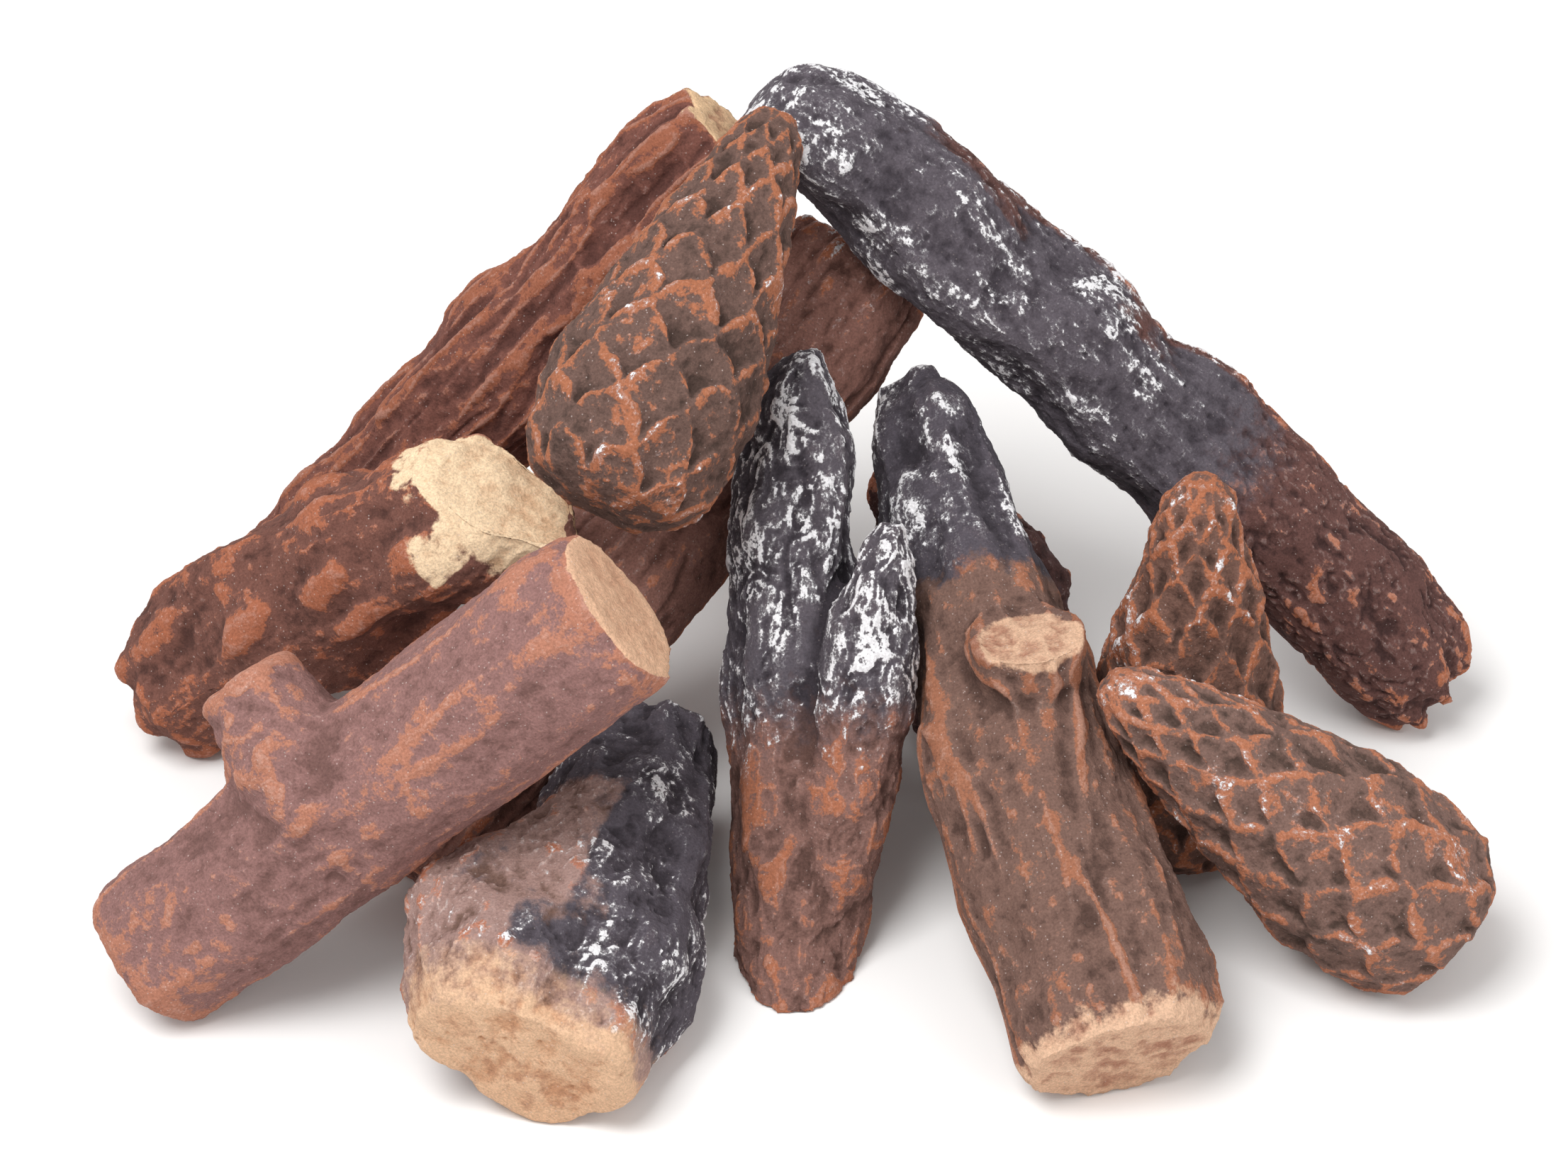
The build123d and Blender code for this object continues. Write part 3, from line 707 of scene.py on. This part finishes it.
def clay_grain(pit_mm: float = 0.6) -> tuple[Relief, ...]:
    """Gives the fine relief that all castings share.

    Args:
        pit_mm: How deep the pits are.

    Returns:
        The layers of relief.
    """
    return (
        Relief(Pattern.SHELVES, 7, 0.7, 1.5, on_breaks=0.4),
        Relief(Pattern.GRAIN, 2.6, 0.35, on_breaks=1.0),
        Relief(Pattern.PITS, 8.0, pit_mm, on_breaks=1.0),
    )


def pile_of_castings() -> list[Casting]:
    """Gives every casting of the pile, from the back to the front."""
    return [
        CastLog(
            "rear_right_log", 168.0, 41.5, -62.0, 1,
            CastClayFinish(bark="#684944", bark_dark="#473230", bark_pale="#7d5f5a", char="#5f5960",
                           char_dark="#3f3a40", brushed_from=0.66, ash_from=0.565, char_edge=0.28),
            length_mm=320.0,
            reliefs=(
                Relief(Pattern.SHELVES, 13, 2.2, 1.7, on_char=0.5),
                Relief(Pattern.LUMPS, 24, 2.0, 2.2, stop=0.42, on_char=0.2),
                Relief(Pattern.PLATES, 7, 1.2, 1.5, on_char=0.1),
                *clay_grain(0.9),
            ),
            zones=(
                Zone(Layer.CHAR, 0.36, 2.0, 0.11, (-0.5, -0.8, 0.1), -0.1),
                Zone(Layer.CHAR, 0.84, 2.0, 0.08),
                Zone(Layer.ASH, 0.42, 2.0, 0.05, strength=0.6),
                Zone(Layer.ASH, 0.84, 2.0, 0.06, strength=0.85),
            ),
        ),
        CastLog(
            "rear_left_log", 4.5, 48.8, 62.0, 2,
            CastClayFinish(bark="#7b5046", bark_dark="#5a3a34", bark_pale="#8e645a", terracotta="#a7664a",
                           cream="#e3bf98", brushed_from=0.53, brush_strength=0.7, patch_mm=18.0,
                           cream_edge=0.2),
            length_mm=258.0,
            reliefs=(
                Relief(Pattern.FLUTES, 15, 2.4, 4.5, 2.0),
                Relief(Pattern.PLATES, 9, 0.9, 3.5, 2.0),
                *clay_grain(),
            ),
            zones=(
                Zone(Layer.CREAM, 0.96, 2.0, 0.03, (0.66, 0.05, 0.75), 0.45),
                Zone(Layer.CREAM, 0.9, 2.0, 0.03, (0.8, -0.5, 0.2), 0.7),
            ),
        ),
        CastLog(
            "rear_centre_log", 45.5, 30.5, 30.0, 3,
            CastClayFinish(bark="#946a5f", bark_dark="#6b4b43", bark_pale="#a5817a", brushed_from=0.64),
            length_mm=260.0,
            reliefs=(Relief(Pattern.PLATES, 12, 1.6, 5.0, 1.0), *clay_grain()),
            zones=(Zone(Layer.ASH, 0.8, 2.0, 0.08, strength=0.3),),
        ),
        CastLog(
            "knotted_log", 104.0, 22.5, -8.0, 4,
            CastClayFinish(bark="#7c6056", bark_dark="#57423b", bark_pale="#917a6e", terracotta="#ad6d4e",
                           cream="#dcb598", cream_deep="#ab7c66", brushed_from=0.56, brush_strength=0.7,
                           cream_edge=0.14),
            length_mm=258.0,
            reliefs=(
                Relief(Pattern.FLUTES, 19, 4.0, 6.0, stop=0.56),
                Relief(Pattern.LUMPS, 26, 4.4, 1.2, start=0.6),
                Relief(Pattern.FOLDS, 16, 1.4, 2.0),
                *clay_grain(),
            ),
            zones=(
                Zone(Layer.CREAM, facing=(0.22, -0.9, -0.38), edge=0.75, stop=0.08),
                Zone(Layer.CREAM, stop=0.035, fade=0.04, strength=0.8),
                Zone(Layer.CREAM, spot_mm=(5, -41, 136), reach_mm=20.5),
                Zone(Layer.CHAR, 0.66, 2.0, 0.05),
                Zone(Layer.ASH, 0.68, 2.0, 0.05, strength=0.7),
            ),
        ),
        CastLog(
            "short_log", 112.0, 46.0, -10.0, 5,
            CastClayFinish(bark="#5c413e", bark_dark="#3a2a29", bark_pale="#6f534f", brushed_from=0.72),
            length_mm=92.0,
            reliefs=(Relief(Pattern.SHELVES, 12, 3.0, 1.4), Relief(Pattern.LUMPS, 14, 2.0), *clay_grain()),
            zones=(Zone(Layer.CHAR, strength=0.35),),
        ),
        CastLog(
            "split_log", 76.0, 8.0, 25.0, 6,
            CastClayFinish(bark="#a3857d", bark_dark="#745a50", bark_pale="#bba29b", cream="#dfb897",
                           cream_deep="#c69472", brushed_from=0.64, dust_and_highlight=0.4, char_edge=0.24,
                           cream_edge=0.3),
            length_mm=150.0,
            reliefs=(
                Relief(Pattern.SHELVES, 15, 2.4, 1.6),
                Relief(Pattern.FOLDS, 26, 2.6, 1.3, on_breaks=1.3),
                *clay_grain(0.9),
            ),
            zones=(
                Zone(Layer.CHAR, 0.12, facing=(0.92, -0.1, 0.38), edge=0.55),
                Zone(Layer.CHAR, 0.66),
                Zone(Layer.ASH, 0.1, facing=(0.92, -0.1, 0.38), edge=0.5, strength=0.6),
                Zone(Layer.ASH, facing=(-0.4, -0.5, 0.7), edge=0.6, strength=0.3),
                Zone(Layer.CREAM, stop=0.1, fade=0.15, facing=(-0.15, -0.9, -0.1), edge=0.25, strength=0.85),
            ),
        ),
        CastLog(
            "left_log", -18.0, 39.5, 75.0, 7,
            CastClayFinish(bark="#795248", bark_dark="#563a34", bark_pale="#8d6a62", terracotta="#b06a4c",
                           cream="#f3d6b2", cream_deep="#d6b08d", brushed_from=0.545, brush_strength=0.8,
                           cream_edge=0.12),
            length_mm=182.0,
            proud_mm=1.0,
            level=95.0,
            reliefs=(
                Relief(Pattern.LUMPS, 20, 6.0, 1.8, 5.0, on_breaks=0.3),
                Relief(Pattern.FOLDS, 30, 1.6, 1.5, on_breaks=1.0),
                *clay_grain(),
            ),
            zones=(
                Zone(Layer.CREAM, 0.86, 2.0, 0.05, (0.8, -0.45, 0.35), 0.35),
                Zone(Layer.CREAM, 0.74, 2.0, 0.05, (0.2, -0.5, 0.85), 0.7),
            ),
        ),
        CastLog(
            "branched_log", 3.0, 39.3, 58.0, 8,
            CastClayFinish(bark="#936e69", bark_dark="#765752", bark_pale="#a88782", terracotta="#bb7c60",
                           cream="#dbb192", cream_deep="#ca9d80", brushed_from=0.54, brush_strength=0.75,
                           patch_mm=26.0),
            length_mm=205.0,
            blend_at=0.42,
            reliefs=(
                Relief(Pattern.FLUTES, 30, 1.6, 6.0),
                Relief(Pattern.FOLDS, 30, 1.8, 2.0),
                Relief(Pattern.SHELVES, 13, 2.4, 1.2, start=0.37, stop=0.47),
                *clay_grain(0.4),
            ),
            zones=(Zone(Layer.CREAM, 0.97, 2.0, 0.03, (0.77, -0.04, 0.63), 0.55),),
        ),
        CastLog(
            "forked_log", 88.0, 50.5, 0.0, 9,
            CastClayFinish(bark="#8d6a61", bark_dark="#644a43", bark_pale="#a98b84", terracotta="#b47050",
                           char="#5b565d", brushed_from=0.55, ash_from=0.585, patch_mm=16.0, char_edge=0.34),
            length_mm=220.0,
            reliefs=(
                Relief(Pattern.SHELVES, 15, 2.8, 1.7),
                Relief(Pattern.FOLDS, 22, 1.6, 1.4),
                *clay_grain(0.9),
            ),
            zones=(
                Zone(Layer.CHAR, 0.43, 2.0, 0.12),
                Zone(Layer.ASH, 0.41, 2.0, 0.09, strength=0.85),
            ),
        ),
        CastPineCone(
            "top_pine_cone", 58.5, 39.5, 0.0, 21,
            CastClayFinish(bark="#6f574f", bark_dark="#4c3c36", bark_pale="#836b63", terracotta="#b06e4e",
                           brushed_from=0.54, patch_mm=22.0, hollow_painted_shade=0.35),
        ),
        CastPineCone(
            "right_pine_cone", 97.0, 87.0, 0.0, 22,
            CastClayFinish(bark="#7a5b50", bark_dark="#503c35", bark_pale="#8b7064", terracotta="#b36e4d",
                           brushed_from=0.55, patch_mm=16.0, hollow_painted_shade=0.35),
        ),
        CastPineCone(
            "front_pine_cone", 168.0, 35.5, 20.0, 23,
            CastClayFinish(bark="#7f645b", bark_dark="#54433c", bark_pale="#927a70", terracotta="#b97555",
                           brushed_from=0.55, patch_mm=16.0, hollow_painted_shade=0.35),
        ),
    ]


@dataclass
class Studio:
    """A pale floor, soft lights and a camera on a stand in front of the pile."""

    floor_size: float = 8.0
    floor_colour: str = "#f8f7f6"
    floor_fades: tuple[float, float] = (0.7, 1.6)
    world_strength: float = 0.60
    key_power: float = 22.0
    fill_power: float = 5.0
    lens_mm: float = 85.0
    sensor_mm: float = 36.0
    elevation: float = 35.0
    distance: float = 1.276
    target: tuple[float, float, float] = (-0.0049, 0.0659, 0.060)

    def seen_white(self, tree: bpy.types.NodeTree) -> bpy.types.NodeSocket:
        """Gives 1 where the camera sees a surface, straight or in a gloss or through glass, and 0 to light."""
        path = add_node(tree, "ShaderNodeLightPath").outputs
        seen = add_node(tree, "ShaderNodeMath", {0: path["Is Camera Ray"], 1: path["Is Glossy Ray"]},
                        operation="MAXIMUM").outputs[0]
        return add_node(tree, "ShaderNodeMath", {0: seen, 1: path["Is Transmission Ray"]},
                        operation="MAXIMUM").outputs[0]

    def lay_floor(self) -> None:
        """Lays the floor, of matt paper that runs out into plain white far from the pile."""
        half = self.floor_size / 2
        mesh = bpy.data.meshes.new("floor")
        mesh.from_pydata([(-half, -half, 0), (half, -half, 0), (half, half, 0), (-half, half, 0)], [], [(0, 1, 2, 3)])
        material = bpy.data.materials.new("matt_paper")
        material.use_nodes = True
        tree = material.node_tree
        tree.nodes.clear()
        surface = add_node(tree, "ShaderNodeBsdfDiffuse", {"Color": linear(self.floor_colour), "Roughness": 1.0})
        place = add_node(tree, "ShaderNodeTexCoord").outputs["Object"]
        away = add_node(tree, "ShaderNodeVectorMath", {0: place}, operation="LENGTH").outputs["Value"]
        near, far = self.floor_fades
        fade = add_node(tree, "ShaderNodeMapRange", {"Value": away, "From Min": near, "From Max": far},
                        interpolation_type="SMOOTHSTEP").outputs[0]
        share = add_node(tree, "ShaderNodeMath", {0: fade, 1: self.seen_white(tree)}, operation="MULTIPLY")
        white = add_node(tree, "ShaderNodeEmission", {"Color": (1, 1, 1, 1), "Strength": 1.0})
        both = add_node(tree, "ShaderNodeMixShader",
                        {0: share.outputs[0], 1: surface.outputs[0], 2: white.outputs[0]})
        add_node(tree, "ShaderNodeOutputMaterial", {"Surface": both.outputs[0]})
        mesh.materials.append(material)
        floor = bpy.data.objects.new("floor", mesh)
        bpy.context.scene.collection.objects.link(floor)

    def hang_lamp(self, name: str, power: float, size: float, place: tuple[float, float, float]) -> None:
        """Hangs one soft lamp that looks at the pile.

        Args:
            name: The lamp's name.
            power: Its power in watts.
            size: The side of its square face.
            place: Where it hangs.
        """
        lamp = bpy.data.lights.new(name, "AREA")
        lamp.energy = power
        lamp.size = size
        holder = bpy.data.objects.new(name, lamp)
        bpy.context.scene.collection.objects.link(holder)
        holder.location = place
        toward = Vector(self.target) - Vector(place)
        holder.rotation_euler = toward.to_track_quat("-Z", "Y").to_euler()

    def set_camera(self) -> None:
        """Sets the camera where the photograph was taken from."""
        data = bpy.data.cameras.new("camera")
        data.lens = self.lens_mm
        data.sensor_width = self.sensor_mm
        data.clip_end = 20
        camera = bpy.data.objects.new("camera", data)
        bpy.context.scene.collection.objects.link(camera)
        rise = math.radians(self.elevation)
        camera.location = Vector(self.target) + self.distance * Vector((0, -math.cos(rise), math.sin(rise)))
        camera.rotation_euler = (math.pi / 2 - rise, 0, 0)
        bpy.context.scene.camera = camera

    def build(self) -> None:
        """Sets up the whole studio."""
        self.lay_floor()
        self.hang_lamp("key_lamp", self.key_power, 0.9, (-0.55, -0.6, 1.6))
        self.hang_lamp("fill_lamp", self.fill_power, 1.2, (1.2, -0.8, 0.9))
        world = bpy.data.worlds.new("soft_box")
        world.use_nodes = True
        tree = world.node_tree
        tree.nodes.clear()
        light = add_node(tree, "ShaderNodeBackground", {"Color": (1, 1, 1, 1), "Strength": self.world_strength})
        white = add_node(tree, "ShaderNodeBackground", {"Color": (1, 1, 1, 1), "Strength": 1.0})
        both = add_node(tree, "ShaderNodeMixShader",
                        {0: self.seen_white(tree), 1: light.outputs[0], 2: white.outputs[0]})
        add_node(tree, "ShaderNodeOutputWorld", {"Surface": both.outputs[0]})
        bpy.context.scene.world = world
        self.set_camera()
        bpy.context.scene.view_settings.view_transform = "Standard"


def main() -> None:
    """Builds the castings and the studio, and logs the face count of each piece."""
    logging.basicConfig(level=logging.INFO, format="%(message)s")
    for casting in pile_of_castings():
        piece = casting.build()
        LOG.info("%s: %d faces", piece.name, len(piece.data.polygons))
    Studio().build()


if __name__ == "__main__":
    main()
